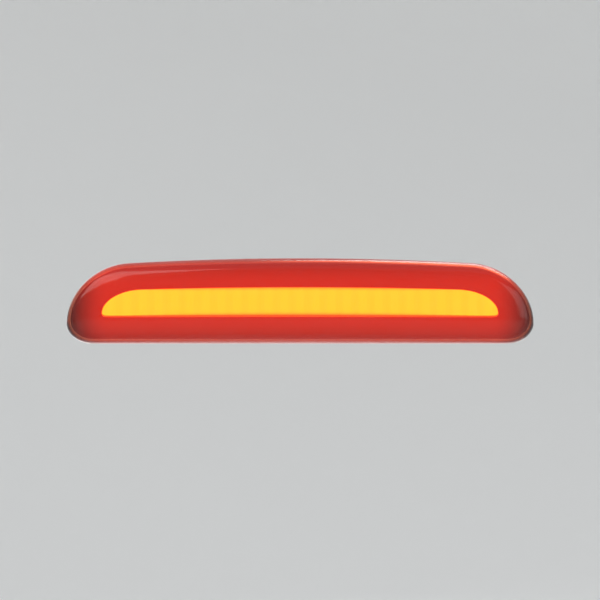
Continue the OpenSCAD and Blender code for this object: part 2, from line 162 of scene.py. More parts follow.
def ring(outline, d, y, bow=0.0, steps=(24, 40)):
    """The outline inset by d, at depth y, with its ends swept back by bow."""
    inner = outline.inset(d)
    xs = inner.stations(*steps)
    edge = [(x, inner.low(x)) for x in xs] + [(x, inner.high(x)) for x in xs[-2:0:-1]]
    return [Vector((x, y + bow * (x / outline.half_w) ** 2, z)) for x, z in edge]


def between(a, b, t, y):
    """The ring a fraction t of the way from ring a to ring b, at depth y."""
    return [Vector((p.x + (q.x - p.x) * t, y, p.z + (q.z - p.z) * t)) for p, q in zip(a, b)]


def rounded_front(outline, shell, width, y0, y1, bow, count, steps):
    """Rings of a superellipse section, from the straight side at y0 to the middle at y1."""
    side_power, front_power = 3.2, 2.2
    rings = []
    for i in range(count + 1):
        a = math.pi / 2 * i / count
        across = max(0, math.cos(a)) ** (2 / side_power)
        out = math.sin(a) ** (2 / front_power)
        inset = shell + width * (1 - across)
        rings.append(ring(outline, inset, y0 + (y1 - y0) * out, bow * out, steps))
    return rings


# ---- Mesh building ---------------------------------------------------------------------------


def finish_mesh(name, bm, sharp=35):
    """Turns bm into a smooth-shaded object, with creases where faces meet at over sharp degrees."""
    bmesh.ops.recalc_face_normals(bm, faces=bm.faces)
    mesh = bpy.data.meshes.new(name)
    bm.to_mesh(mesh)
    bm.free()
    mesh.polygons.foreach_set("use_smooth", [True] * len(mesh.polygons))
    mesh.set_sharp_from_angle(angle=math.radians(sharp))
    obj = bpy.data.objects.new(name, mesh)
    bpy.context.scene.collection.objects.link(obj)
    return obj


def add_face(bm, *corners):
    """A face whose neighbouring corners may be one and the same point."""
    bm.faces.new(list(dict.fromkeys(corners)))


def cap(bm, row):
    """Closes a ring with strips between its lower and upper edges."""
    n = len(row)
    half = n // 2
    bm.faces.new((row[0], row[1], row[n - 1]))
    bm.faces.new((row[half - 1], row[half], row[half + 1]))
    for i in range(1, half - 1):
        bm.faces.new((row[i], row[i + 1], row[n - i - 1], row[n - i]))


def skin(bm, rings, loop=False):
    """Joins a list of rings with quads. The skin is capped at both ends, or closed in a loop."""
    rows = [[bm.verts.new(p) for p in r] for r in rings]
    n = len(rows[0])
    for a, b in zip(rows, rows[1:] + rows[:1] if loop else rows[1:]):
        for i in range(n):
            j = (i + 1) % n
            bm.faces.new((a[i], b[i], b[j], a[j]))
    if not loop:
        cap(bm, rows[0])
        cap(bm, rows[-1])


def add_prism(bm, x0, x1, section):
    """A prism along X with a section of (y, z) points."""
    ends = [[bm.verts.new((x, y, z)) for y, z in section] for x in (x0, x1)]
    count = len(section)
    for i in range(count):
        j = (i + 1) % count
        bm.faces.new((ends[0][i], ends[0][j], ends[1][j], ends[1][i]))
    for end in ends:
        bm.faces.new(end)


def add_turned(bm, centre, sections, count=96, loop=True):
    """A skin round an axis along Y. Each section gives (radius, y), or is a function of the angle
    that does. A radius of 0 is a single point, and a loop also joins the last section to the
    first."""
    rows = []
    for section in sections:
        if not callable(section) and section[0] == 0:
            rows.append([bm.verts.new((centre[0], section[1], centre[1]))] * count)
            continue
        row = []
        for i in range(count):
            a = 2 * math.pi * i / count
            r, y = section(a) if callable(section) else section
            row.append(bm.verts.new((centre[0] + r * math.cos(a), y, centre[1] + r * math.sin(a))))
        rows.append(row)
    for a, b in zip(rows, rows[1:] + rows[:1] if loop else rows[1:]):
        for i in range(count):
            j = (i + 1) % count
            add_face(bm, a[i], a[j], b[j], b[i])


def soften(obj, width):
    """Rounds the sharp edges of an object by up to width, or less where its shortest edges leave
    no room for that."""
    bevel = obj.modifiers.new("soft_edges", "BEVEL")
    bevel.width = width
    bevel.segments = 2
    bevel.limit_method = "ANGLE"
    bevel.angle_limit = math.radians(32)
    bevel.use_clamp_overlap = True
    bevel.harden_normals = False


def make_smoothing(degrees):
    """A geometry node group that shades faces smooth, with creases at sharper angles."""
    group = bpy.data.node_groups.new("smooth_by_angle", "GeometryNodeTree")
    for way in ("INPUT", "OUTPUT"):
        group.interface.new_socket("Geometry", in_out=way, socket_type="NodeSocketGeometry")
    entry, leave = group.nodes.new("NodeGroupInput"), group.nodes.new("NodeGroupOutput")
    faces, edges = (group.nodes.new("GeometryNodeSetShadeSmooth") for _ in range(2))
    edges.domain = "EDGE"
    angle = group.nodes.new("GeometryNodeInputMeshEdgeAngle")
    gentle = group.nodes.new("FunctionNodeCompare")
    gentle.operation = "LESS_THAN"
    gentle.inputs["B"].default_value = math.radians(degrees)
    group.links.new(angle.outputs["Unsigned Angle"], gentle.inputs["A"])
    group.links.new(gentle.outputs["Result"], edges.inputs["Shade Smooth"])
    group.links.new(entry.outputs[0], faces.inputs["Geometry"])
    group.links.new(faces.outputs["Geometry"], edges.inputs["Geometry"])
    group.links.new(edges.outputs["Geometry"], leave.inputs[0])
    return group


SMOOTHING = make_smoothing(40)


def dress(obj, mat):
    """Gives an object one material."""
    obj.data.materials.clear()
    obj.data.materials.append(mat)
    return obj


def place(obj, body, slot, mat, *replaced):
    """Fixes a finished piece to its body, its material and the CAD nodes it stands for."""
    dress(obj, mat)
    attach(obj, body)
    if replaced:
        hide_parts(*replaced)
    return obj


# ---- Materials -------------------------------------------------------------------------------


class Look:
    """A material with a Principled shader and short ways to add the nodes that vary it."""

    def __init__(self, name, colour=(0.8, 0.8, 0.8), roughness=0.5, metallic=0.0, **sockets):
        self.mat = bpy.data.materials.new(name)
        self.mat.use_nodes = True
        self.tree = self.mat.node_tree
        self.shader = next(n for n in self.tree.nodes if n.type == "BSDF_PRINCIPLED")
        self.output = next(n for n in self.tree.nodes if n.type == "OUTPUT_MATERIAL")
        self.set(Base_Color=(*colour, 1), Roughness=roughness, Metallic=metallic, **sockets)
        texture_place = self.tree.nodes.new("ShaderNodeTexCoord").outputs
        self.coords, self.facing = texture_place["Object"], texture_place["Normal"]

    def set(self, **sockets):
        """Sets the shader's own numbers and colours."""
        for name, value in sockets.items():
            self.shader.inputs[name.replace("_", " ")].default_value = value

    def link(self, source, socket):
        """Feeds a socket of the shader."""
        self.tree.links.new(source, self.shader.inputs[socket])

    def node(self, kind, **values):
        """A new node, with each named socket linked or set."""
        n = self.tree.nodes.new("ShaderNode" + kind)
        for name, value in values.items():
            socket = n.inputs[name.replace("_", " ")]
            if isinstance(value, bpy.types.NodeSocket):
                self.tree.links.new(value, socket)
            else:
                socket.default_value = value
        return n

    def stretched(self, scale):
        """Places on the piece, scaled along each axis."""
        return self.node("Mapping", Vector=self.coords, Scale=scale).outputs["Vector"]

    def noise(self, size, detail=2.0, stretch=None):
        """Noise from 0 to 1 with features of about that size."""
        vector = self.stretched(stretch) if stretch else self.coords
        return self.node("TexNoise", Vector=vector, Scale=1 / size, Detail=detail).outputs["Fac"]

    def cells(self, size, randomness=1.0):
        """Distance to the nearest of scattered points that lie about size apart."""
        return self.node(
            "TexVoronoi", Vector=self.coords, Scale=1 / size, Randomness=randomness
        ).outputs["Distance"]

    def ranged(self, value, low, high, start=0.0, end=1.0):
        """A value from start to end, carried over to low to high."""
        n = self.node(
            "MapRange", Value=value, From_Min=start, From_Max=end, To_Min=low, To_Max=high
        )
        return n.outputs["Result"]

    def calculate(self, operation, *values):
        """A sum or another operation on numbers and sockets."""
        n = self.tree.nodes.new("ShaderNodeMath")
        n.operation = operation
        for value, socket in zip(values, n.inputs):
            if isinstance(value, bpy.types.NodeSocket):
                self.tree.links.new(value, socket)
            else:
                socket.default_value = value
        return n.outputs[0]

    def blend(self, factor, first, second):
        """The first colour where factor is 0, and the second where it is 1."""
        n = self.tree.nodes.new("ShaderNodeMix")
        n.data_type = "RGBA"
        self.tree.links.new(factor, n.inputs[0])
        for value, socket in ((first, n.inputs[6]), (second, n.inputs[7])):
            if isinstance(value, bpy.types.NodeSocket):
                self.tree.links.new(value, socket)
            else:
                socket.default_value = (*value, 1)
        return n.outputs[2]

    def bump(self, height, distance, strength=1.0, under=None):
        """Bumps of that height and distance, on top of the bumps under them."""
        n = self.node("Bump", Height=height, Distance=distance, Strength=strength)
        if under is not None:
            self.tree.links.new(under, n.inputs["Normal"])
        return n.outputs["Normal"]

    def edge_wear_and_highlight(self):
        """1 on convex edges, 0 elsewhere."""
        pointiness = self.tree.nodes.new("ShaderNodeNewGeometry").outputs["Pointiness"]
        return self.ranged(pointiness, 0, 1, 0.52, 0.56)

    def mix_shaders(self, factor, first, second):
        """The first shader where factor is 0, and the second where it is 1."""
        n = self.tree.nodes.new("ShaderNodeMixShader")
        self.tree.links.new(factor, n.inputs[0])
        self.tree.links.new(first.outputs[0], n.inputs[1])
        self.tree.links.new(second.outputs[0], n.inputs[2])
        return n

    def add_shaders(self, first, second):
        """The light of both shaders together."""
        n = self.tree.nodes.new("ShaderNodeAddShader")
        self.tree.links.new(first.outputs[0], n.inputs[0])
        self.tree.links.new(second.outputs[0], n.inputs[1])
        return n

    def show(self, shader, socket="Surface"):
        """Sends a shader to the material's output."""
        self.tree.links.new(shader.outputs[0], self.output.inputs[socket])


def moulded_plastic(name, dark, light, roughness):
    """Spark-textured moulded plastic with slight shifts in tone, and edges painted paler: partly
    rubbed wear, partly a painted highlight along the edges.
    """
    grain, depth = 0.35 * MM, 0.02 * MM
    look = Look(name, dark, roughness)
    tone = look.blend(look.noise(22 * MM, 3), dark, light)
    # convex edges painted paler: rubbed wear and a painted edge highlight
    rubbed_and_highlight = [c * 2.2 for c in light]
    look.link(look.blend(look.edge_wear_and_highlight(), tone, rubbed_and_highlight), "Base Color")
    look.link(look.ranged(look.noise(6 * MM, 4), roughness - 0.07, roughness + 0.07), "Roughness")
    fine = look.bump(look.noise(grain, 3), depth, 0.6)
    look.link(look.bump(look.cells(grain * 1.6), depth, 0.35, fine), "Normal")
    return look.mat


def plated_steel(name, tones, roughness):
    """Zinc plating: soft patches of tone, fine turning lines and duller stains."""
    look = Look(name, tones[0], roughness, 1.0)
    patches = look.blend(look.noise(2.2 * MM, 3), tones[0], tones[1])
    stains = look.ranged(look.noise(0.9 * MM, 4), 0, 1, 0.45, 0.75)
    look.link(look.blend(stains, patches, tones[2]), "Base Color")
    look.link(look.ranged(look.noise(0.5 * MM, 4), roughness - 0.08, roughness + 0.14), "Roughness")
    lines = look.noise(0.12 * MM, 2, stretch=(0.15, 1, 0.15))
    look.link(look.bump(lines, 0.008 * MM, 0.5), "Normal")
    return look.mat


def painted_lens_glow(look):
    """Painted glow: red emission on the outer side of the lens only, fading away from the bar, that
    stands in for the bar's light around it.
    """
    x, _, z = look.node("SeparateXYZ", Vector=look.coords).outputs
    middle, half_h = (BAR.top + BAR.bottom) / 2, (BAR.top - BAR.bottom) / 2
    past_end = look.calculate("SUBTRACT", look.calculate("ABSOLUTE", x), BAR.half_w - 4 * MM)
    off_middle = look.calculate("ABSOLUTE", look.calculate("SUBTRACT", z, middle))
    past_edge = look.calculate("SUBTRACT", off_middle, half_h)
    beside = look.calculate("MAXIMUM", past_end, 0.0)
    above = look.calculate("MULTIPLY", look.calculate("MAXIMUM", past_edge, 0.0), 0.88)
    squares = [look.calculate("POWER", side, 2.0) for side in (beside, above)]
    away = look.calculate("SQRT", look.calculate("ADD", *squares))
    # the painted glow is strongest beside the bar and fades to almost nothing at the rim
    reach, at_bar, at_rim = 27 * MM, 0.61, 0.01
    fade = look.node(
        "MapRange", Value=away, From_Min=0.0, From_Max=reach, To_Min=at_bar, To_Max=at_rim
    )
    fade.interpolation_type = "SMOOTHSTEP"
    behind = look.tree.nodes.new("ShaderNodeNewGeometry").outputs["Backfacing"]
    outside = look.calculate("SUBTRACT", 1.0, behind)
    strength = look.calculate("MULTIPLY", fade.outputs["Result"], outside)
    return look.node("Emission", Color=(1, 0.018, 0.004, 1), Strength=strength)


def red_lens():
    """Clear acrylic with a red dye, and a low painted glow on its outer side that fades away from
    the bar.
    """
    look = Look("red_lens")
    polish = look.ranged(look.noise(9 * MM, 4), 0.015, 0.05)
    ripple = look.bump(look.noise(14 * MM, 1), 0.02 * MM, 0.3)
    glass = look.node("BsdfGlass", Color=(1, 1, 1, 1), Roughness=polish, IOR=1.45, Normal=ripple)
    clear = look.node("BsdfTransparent", Color=(1, 1, 1, 1))
    rays = look.tree.nodes.new("ShaderNodeLightPath").outputs
    soft_ray = look.calculate("MAXIMUM", rays["Is Shadow Ray"], rays["Is Diffuse Ray"])
    wall = look.mix_shaders(soft_ray, glass, clear)
    dye = look.node("VolumeAbsorption", Color=(0.62, 0.22, 0.0, 1), Density=560.0)
    # the painted glow, emission from a part that is no lamp, is added over the glass
    look.show(look.add_shaders(wall, painted_lens_glow(look)))
    look.show(dye, "Volume")
    look.tree.nodes.remove(look.shader)
    return look.mat


def glowing_diffuser():
    """Opal acrylic, lit from behind by the row of LEDs: bright in front and dim at the sides."""
    look = Look("glowing_diffuser", (0.85, 0.55, 0.3), 0.35)
    axes = look.node("SeparateXYZ", Vector=look.facing).outputs
    place_on_bar = look.node("SeparateXYZ", Vector=look.coords).outputs
    exposed = look.ranged(place_on_bar["Y"], 1, 0, BAR_SHOULDER + 2 * MM, DISH_DEEP - MM)
    forward = look.calculate("MULTIPLY", look.ranged(axes["Y"], 0, 1, -0.15, -0.97), exposed)
    turn = look.calculate("MULTIPLY", place_on_bar["X"], 2 * math.pi / LED_PITCH)
    between_leds = look.calculate("COSINE", turn)  # 1 midway between two LEDs, -1 over each
    ripple = look.ranged(between_leds, 0.93, 1.0, -1)
    strength = look.calculate("MULTIPLY", look.ranged(forward, 0.9, 2.0), ripple)
    look.link(strength, "Emission Strength")
    look.link(look.blend(forward, (1, 0.2, 0.01), (1, 0.9, 0.02)), "Emission Color")
    look.link(look.bump(look.noise(1.5 * MM, 2), 0.02 * MM, 0.3), "Normal")
    return look.mat


def bezel_plastic():
    """Dark red satin plastic, which the painted glow of the lens hides in part."""
    look = Look("bezel_red", (0.07, 0.005, 0.004), 0.34)
    look.link(look.ranged(look.noise(3 * MM, 3), 0.28, 0.42), "Roughness")
    look.link(look.bump(look.noise(0.6 * MM, 2), 0.012 * MM, 0.4), "Normal")
    return look.mat


def gasket_rubber():
    """Black rubber with a dusty tone and a fine moulded grain."""
    look = Look("gasket_rubber", (0.02, 0.02, 0.021), 0.8)
    tone = look.blend(look.noise(4 * MM, 4), (0.014, 0.014, 0.015), (0.034, 0.034, 0.036))
    look.link(tone, "Base Color")
    skin_bump = look.bump(look.noise(0.25 * MM, 3), 0.03 * MM, 0.6)
    look.link(look.bump(look.cells(0.5 * MM), 0.02 * MM, 0.4, skin_bump), "Normal")
    return look.mat


def circuit_board():
    """Green solder mask over faint copper tracks."""
    look = Look("board_green", (0.02, 0.16, 0.06), 0.35, Coat_Weight=0.4, Coat_Roughness=0.2)
    tracks = look.node("TexBrick", Vector=look.stretched((1, 0, 1)), Scale=180.0)
    tracks.inputs["Mortar Size"].default_value = 0.03
    tone = look.blend(tracks.outputs["Fac"], (0.02, 0.15, 0.055), (0.05, 0.26, 0.09))
    look.link(tone, "Base Color")
    look.link(look.bump(tracks.outputs["Fac"], 0.03 * MM, 0.5), "Normal")
    return look.mat


def plain(name, colour, roughness, metallic=0.0, size=1.0 * MM, depth=0.01 * MM, **sockets):
    """A simple hard surface with slight variation in tone and roughness."""
    look = Look(name, colour, roughness, metallic, **sockets)
    shade = [c * 0.82 for c in colour]
    look.link(look.blend(look.noise(size * 3, 3), shade, colour), "Base Color")
    look.link(look.ranged(look.noise(size, 3), roughness - 0.06, roughness + 0.08), "Roughness")
    look.link(look.bump(look.noise(size / 2, 2), depth, 0.5), "Normal")
    return look.mat


BLACK_ABS = moulded_plastic("housing_black", (0.011, 0.011, 0.012), (0.019, 0.019, 0.021), 0.5)
CLEAR_ZINC = plated_steel(
    "stud_zinc", ((0.62, 0.64, 0.67), (0.52, 0.54, 0.58), (0.42, 0.43, 0.45)), 0.3
)
YELLOW_ZINC = plated_steel(
    "yellow_zinc", ((0.70, 0.58, 0.30), (0.62, 0.55, 0.38), (0.55, 0.38, 0.24)), 0.28
)
RUBBER = gasket_rubber()


# ---- Lens, bar and bezel ---------------------------------------------------------------------


def make_lens():
    """The shell of the lens: an even wall with a bowed front and a straight skirt."""
    steps = (24, 44)
    back, front = lens_high.y, lens_low.y
    outside = [
        ring(LENS, 0.25 * MM, back, steps=steps),
        ring(LENS, 0.06 * MM, back - 0.08 * MM, steps=steps),
        ring(LENS, 0, back - 0.3 * MM, steps=steps),
    ]
    outside += rounded_front(LENS, 0, LENS_ROUND, SKIRT_FRONT, front, LENS_BOW, 26, steps)
    inside = [ring(LENS, LENS_WALL, back, steps=steps)]
    inside += rounded_front(
        LENS, LENS_WALL, LENS_ROUND, SKIRT_FRONT, front + LENS_WALL, LENS_BOW, 26, steps
    )
    bm = bmesh.new()
    skin(bm, inside[::-1] + outside)
    return finish_mesh("lens_shell", bm)


def make_bar():
    """The hollow diffuser: pillow flutes across its front, and a flat foot around its back."""
    steps = (110, 44)
    back, front = bar_high.y, bar_low.y
    foot_front = back - BAR_LIP_T
    sides = [ring(BAR, 0, foot_front, steps=steps), ring(BAR, 0, DISH_DEEP, steps=steps)]
    face = rounded_front(BAR, 0, BAR_ROUND, BAR_SHOULDER, front, BAR_BOW, 14, steps)
    flute_depth, flute_pitch, fade_rings = 0.22 * MM, LED_PITCH / 2, 5
    for k, row in enumerate(face):
        depth = flute_depth * math.sin(math.pi / 2 * min(1, k / fade_rings))
        for p in row:
            p.y += depth * (0.5 - 0.5 * math.cos(2 * math.pi * p.x / flute_pitch))
    foot = [ring(BAR, -FOOT, back, steps=steps), ring(BAR, -FOOT, foot_front, steps=steps)]
    inside = [ring(BAR, BAR_WALL, back, steps=steps), ring(BAR, BAR_WALL, DISH_DEEP, steps=steps)]
    inside += rounded_front(
        BAR, BAR_WALL, BAR_ROUND - BAR_WALL, BAR_SHOULDER, front + BAR_WALL, BAR_BOW, 8, steps
    )
    bm = bmesh.new()
    skin(bm, inside[::-1] + foot + sides + face)
    return finish_mesh("diffuser_bar", bm)


def make_bezel():
    """The dish around the bar, its rim on the weld rib, and its legs."""
    steps = (40, 44)
    bar_gap, land_inset = 0.5 * MM, 5.4 * MM
    near = ring(BAR, -bar_gap, 0, steps=steps)
    far = ring(LENS, land_inset, 0, steps=steps)
    land = bezel_low.y

    def dish(t, back):
        """A ring of the dish, a fraction t of the way up from the bar to the rim."""
        return between(near, far, t, DISH_DEEP + (land - DISH_DEEP) * t * t + back)

    slope = [i / 20 for i in range(21)]
    rim, rim_round = LENS.inset(2.8 * MM), 0.3 * MM
    rings = [between(near, far, 0, DISH_DEEP + 0.35 * MM)]
    rings += [dish(t, 0) for t in slope[1:]]
    rings += [
        ring(rim, rim_round, land, steps=steps),
        ring(rim, 0, land + rim_round, steps=steps),
        ring(rim, 0, land + BEZEL_T, steps=steps),
    ]
    rings += [dish(t, BEZEL_T) for t in slope[::-1]]
    bm = bmesh.new()
    skin(bm, rings, loop=True)
    add_legs(bm)
    return finish_mesh("bezel_dish", bm)


def add_legs(bm):
    """Six legs from the back of the dish, each with a hook behind the tray."""
    reach, spacing = 2.3 * MM, 70 * MM
    leg_half, leg_t, hook_t = 3 * MM, 1.4 * MM, 1.1 * MM
    leg_front, leg_back = DISH_DEEP + 0.6 * MM, bezel_high.y
    hook_front = leg_back - 1.2 * MM
    for x in (-spacing, 0, spacing):
        for side, edge in ((1, BAR.high(x) + reach), (-1, BAR.bottom - reach)):
            outer, inner = edge + side * leg_t, edge - side * hook_t
            add_prism(bm, x - leg_half, x + leg_half, [
                (leg_front, edge), (leg_front, outer), (leg_back, outer), (leg_back, inner),
                (hook_front, inner), (hook_front, edge),
            ])


place(make_lens(), "lamp", "red_lens", red_lens(), "outer_lens")
place(make_bar(), "lamp", "glowing_diffuser", glowing_diffuser(), "light_bar")
place(make_bezel(), "lamp", "bezel_red", bezel_plastic(), "bezel")


# ---- Gasket, fixings and vent cap ------------------------------------------------------------


def make_gasket():
    """Rubber ring with a bulged edge and two grooves in the face that meets the tailgate."""
    steps = (24, 36)
    tub_gap, edge_inset = 0.5 * MM, 1.5 * MM
    groove_depth, bulge, across, around = 0.45 * MM, 0.35 * MM, 20, 8
    inner = ring(TUB, -tub_gap, 0, steps=steps)
    outer = ring(LENS, edge_inset, 0, steps=steps)
    front, back = gasket_low.y, gasket_high.y
    middle, half = (front + back) / 2, (back - front) / 2
    rings = []
    for k in range(across):
        groove = groove_depth * math.sin(2 * math.pi * k / across) ** 2
        rings.append(between(inner, outer, k / across, back - groove))
    for k in range(around + 1):
        a = math.pi / 2 - math.pi * k / around
        inset = edge_inset - bulge * math.cos(a)
        rings.append(ring(LENS, inset, middle + half * math.sin(a), steps=steps))
    rings.append(between(inner, outer, 0, front))
    bm = bmesh.new()
    skin(bm, rings, loop=True)
    return finish_mesh("gasket_ring", bm)


PITCH = 1 * MM
THREAD_CREST, THREAD_ROOT = 2.9 * MM, 2.42 * MM
COLLAR_R, COLLAR_LENGTH = 3.5 * MM, 3 * MM
COLLAR_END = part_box("left_washer")[0].y
THREAD_START = COLLAR_END + 0.4 * MM
BOSS_HEIGHT = 4 * MM
TUB_BACK = COLLAR_END - COLLAR_LENGTH - BOSS_HEIGHT
STUD_HEAD_R, STUD_HEAD_T, STUD_ROOT_R = 5.7 * MM, 2 * MM, 4 * MM
STUD_X = stud_high.x - STUD_HEAD_R
NUT_GAP = 0.06 * MM  # between the threads of a nut and a stud


def add_thread(bm, x, y0, y1, plain, raised, shape, count=48, per_turn=10):
    """A right-hand thread along +Y between two plain ends. Its radius goes from plain to raised
    as shape says for each phase of a turn, and every thread is in step with the studs'."""
    run_out = 0.7 * PITCH
    first = round((y0 - THREAD_START) / PITCH * per_turn) - per_turn
    last = round((y1 - THREAD_START) / PITCH * per_turn) + 1
    grid = []
    for k in range(first, last + 1):
        row = []
        height = shape((k % per_turn) / per_turn)
        for j in range(count):
            y = min(y1, max(y0, THREAD_START + (k / per_turn + j / count) * PITCH))
            fade = min(1, max(0, min(y - y0, y1 - y) / run_out))
            r = plain + (raised - plain) * height * fade
            a = -2 * math.pi * j / count
            row.append(bm.verts.new((x + r * math.cos(a), y, r * math.sin(a))))
        grid.append(row)
    for k in range(len(grid) - 1):
        for j in range(count - 1):
            bm.faces.new((grid[k][j], grid[k][j + 1], grid[k + 1][j + 1], grid[k + 1][j]))
        if k + 1 + per_turn < len(grid):
            seam, start = grid[k][-1], grid[k + per_turn][0]
            bm.faces.new((seam, start, grid[k + per_turn + 1][0], grid[k + 1][-1]))


def ridge(phase):
    """The stud's thread across one pitch: 1 at its crest and 0 in its groove."""
    return min(1, max(0, 1.25 - abs(phase - 0.5) * 3.2))


def weld(bm):
    """Joins the coincident points that a thread's plain ends leave."""
    bmesh.ops.remove_doubles(bm, verts=bm.verts, dist=MICRON / 10)
    bmesh.ops.dissolve_degenerate(bm, edges=bm.edges, dist=MICRON / 10)


def make_studs():
    """Both studs: head and root in the housing, a plain collar, and the thread."""
    head, tip = stud_low.y, stud_high.y
    head_end = head + STUD_HEAD_T
    seat = COLLAR_END - COLLAR_LENGTH  # end of the housing's boss
    thread_end = tip - 0.7 * MM
    head_edge, collar_edge, tip_edge = 0.2 * MM, 0.3 * MM, 0.4 * MM
    bm = bmesh.new()
    for x in (-STUD_X, STUD_X):
        add_turned(bm, (x, 0), [
            (0, head), (STUD_HEAD_R - head_edge, head), (STUD_HEAD_R, head + head_edge),
            (STUD_HEAD_R, head_end - head_edge), (STUD_HEAD_R - head_edge, head_end),
            (STUD_ROOT_R, head_end), (STUD_ROOT_R, seat), (COLLAR_R, seat),
            (COLLAR_R, COLLAR_END - collar_edge), (COLLAR_R - collar_edge, COLLAR_END),
            (THREAD_ROOT, COLLAR_END), (THREAD_ROOT, THREAD_START),
        ], 48, loop=False)
        add_thread(bm, x, THREAD_START, thread_end, THREAD_ROOT, THREAD_CREST, ridge)
        add_turned(bm, (x, 0), [
            (THREAD_ROOT, thread_end), (THREAD_ROOT, tip - tip_edge),
            (THREAD_ROOT - tip_edge, tip), (0, tip),
        ], 48, loop=False)
    weld(bm)
    return finish_mesh("threaded_studs", bm, 40)


def make_nut(side, x):
    """Hexagon nut: chamfered corners, a countersunk and threaded bore, and the lip that holds the
    washer."""
    low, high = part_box(f"{side}_nut")
    front, back = low.y, high.y
    flats = high.z
    seat = front + 1.35 * MM  # where the washer meets the hexagon
    lip_r, lip_edge, lip_back, neck_r = 4.9 * MM, 0.1 * MM, front + 0.3 * MM, 4.3 * MM
    bore, tooth = THREAD_CREST + NUT_GAP, THREAD_ROOT + NUT_GAP
    front_sink, back_sink = 0.25 * MM, 0.45 * MM
    bore_start, bore_end = front + front_sink, back - back_sink
    chamfer_r = flats * 0.96
    slope = math.tan(math.radians(28))

    def hexagon(a):
        """Distance from the axis to the hexagon's side at angle a."""
        return flats / math.cos(a % (math.pi / 3) - math.pi / 6)

    def corner(y, towards):
        """The hexagon's edge near y, where a cone has cut its corners back."""
        return lambda a: (hexagon(a), y + towards * (hexagon(a) - chamfer_r) * slope)

    bm = bmesh.new()
    add_turned(bm, (x, 0), [
        (bore, bore_start), (bore + front_sink, front), (lip_r - lip_edge, front),
        (lip_r, front + lip_edge), (lip_r, lip_back), (neck_r, lip_back), (neck_r, seat),
        (chamfer_r, seat), corner(seat, 0.6), corner(back, -1), (chamfer_r, back),
        (bore + back_sink, back), (bore, bore_end),
    ], 96, loop=False)
    add_thread(bm, x, bore_start, bore_end, bore, tooth, lambda phase: 1 - ridge(phase), 96)
    weld(bm)
    return finish_mesh(f"nut_{side}", bm, 25)


def make_washer(side, x):
    """Washer with a rounded rim, and a recess in its front for the nut's lip."""
    low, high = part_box(f"{side}_washer")
    front, back = low.y, high.y
    rim, edge, mid_edge = high.x - x, 0.25 * MM, 0.075 * MM
    recess_r, recess_end = 5.1 * MM, front + 0.5 * MM
    bore, bore_edge = 4.36 * MM, 0.1 * MM
    bm = bmesh.new()
    add_turned(bm, (x, 0), [
        (recess_r, front), (rim - edge, front), (rim - mid_edge, front + mid_edge),
        (rim, front + edge), (rim, back - edge), (rim - mid_edge, back - mid_edge),
        (rim - edge, back), (bore + bore_edge, back), (bore, back - bore_edge),
        (bore, recess_end), (recess_r, recess_end),
    ], 96)
    return finish_mesh(f"washer_{side}", bm, 30)


def make_vent_cap():
    """Cap with a scalloped grip, rounded shoulders, a shallow dimple in its roof and six air
    grooves inside its skirt."""
    low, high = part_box("vent_cap")
    centre = (low + high) / 2
    front, back = low.y, high.y
    rim, boss, groove = (high.x - low.x) / 2, 5.5 * MM, 0.8 * MM
    inside_back, edge = back - 1.4 * MM, 0.35 * MM

    def scalloped(y, depth):
        """The rim at y, with twenty hollows of that depth."""
        return lambda a: (rim - depth * (0.5 + 0.5 * math.cos(20 * a)), y)

    def grooved(y):
        """The inside of the skirt at y, with its six grooves."""
        return lambda a: (boss + (groove if math.cos(6 * a) > 0.62 else 0), y)

    bm = bmesh.new()
    add_turned(bm, (centre.x, centre.z), [
        (0, inside_back), grooved(inside_back), grooved(front), (rim - edge, front),
        scalloped(front + edge, 0.1 * MM), scalloped(front + 1.0 * MM, 0.45 * MM),
        scalloped(back - 1.7 * MM, 0.45 * MM), scalloped(back - 1.2 * MM, 0.1 * MM),
        (rim - 0.35 * MM, back - 0.65 * MM), (rim - 0.75 * MM, back - 0.3 * MM),
        (rim - 1.3 * MM, back - 0.08 * MM), (rim - 2 * MM, back), (2.6 * MM, back),
        (2.3 * MM, back - 0.25 * MM), (0, back - 0.3 * MM),
    ], 240, loop=False)
    return finish_mesh("vent_cap_moulded", bm, 30)


place(make_gasket(), "lamp", "gasket_rubber", RUBBER, "body_gasket")
place(make_studs(), "lamp", "stud_steel", CLEAR_ZINC, "studs")
place(make_vent_cap(), "lamp", "cap_black", RUBBER, "vent_cap")
for side, x in (("left", -STUD_X), ("right", STUD_X)):
    nut = f"{side}_nut"
    place(make_nut(side, x), nut, f"{nut}_steel", YELLOW_ZINC, nut)
    washer = f"{side}_washer"
    place(make_washer(side, x), washer, f"{washer}_steel", YELLOW_ZINC, washer)


def make_ejector_marks():
    """Witness rings that the mould's ejector pins leave on the back of the tub."""
    inner, outer, edge = 2.1 * MM, 2.6 * MM, 0.15 * MM
    sunk, shoulder, top = TUB_BACK - 0.1 * MM, TUB_BACK + 0.12 * MM, TUB_BACK + 0.25 * MM
    section = [
        (inner, sunk), (inner, shoulder), (inner + edge, top),
        (outer - edge, top), (outer, shoulder), (outer, sunk),
    ]
    bm = bmesh.new()
    for x in (-64 * MM, 0, 48 * MM):
        for z in (-6.5 * MM, 6 * MM):
            add_turned(bm, (x, z), section, 48)
    return finish_mesh("ejector_marks", bm, 50)


place(make_ejector_marks(), "lamp", "housing_black", BLACK_ABS)


# ---- CAD nodes that stay ---------------------------------------------------------------------


def soft_cad(node, mat, width=0.0):
    """A CAD node with its own material, and its edges rounded by up to width."""
    obj = dress(NODES[node], mat)
    merge = obj.modifiers.new("weld", "WELD")
    merge.merge_threshold = MICRON
    if width:
        flat = obj.modifiers.new("whole_faces", "DECIMATE")
        flat.decimate_type = "DISSOLVE"
        flat.angle_limit = math.radians(0.5)
        soften(obj, width)
    obj.modifiers.new("smooth_by_angle", "NODES").node_group = SMOOTHING
    obj.modifiers.new("flat_faces", "WEIGHTED_NORMAL").keep_sharp = True


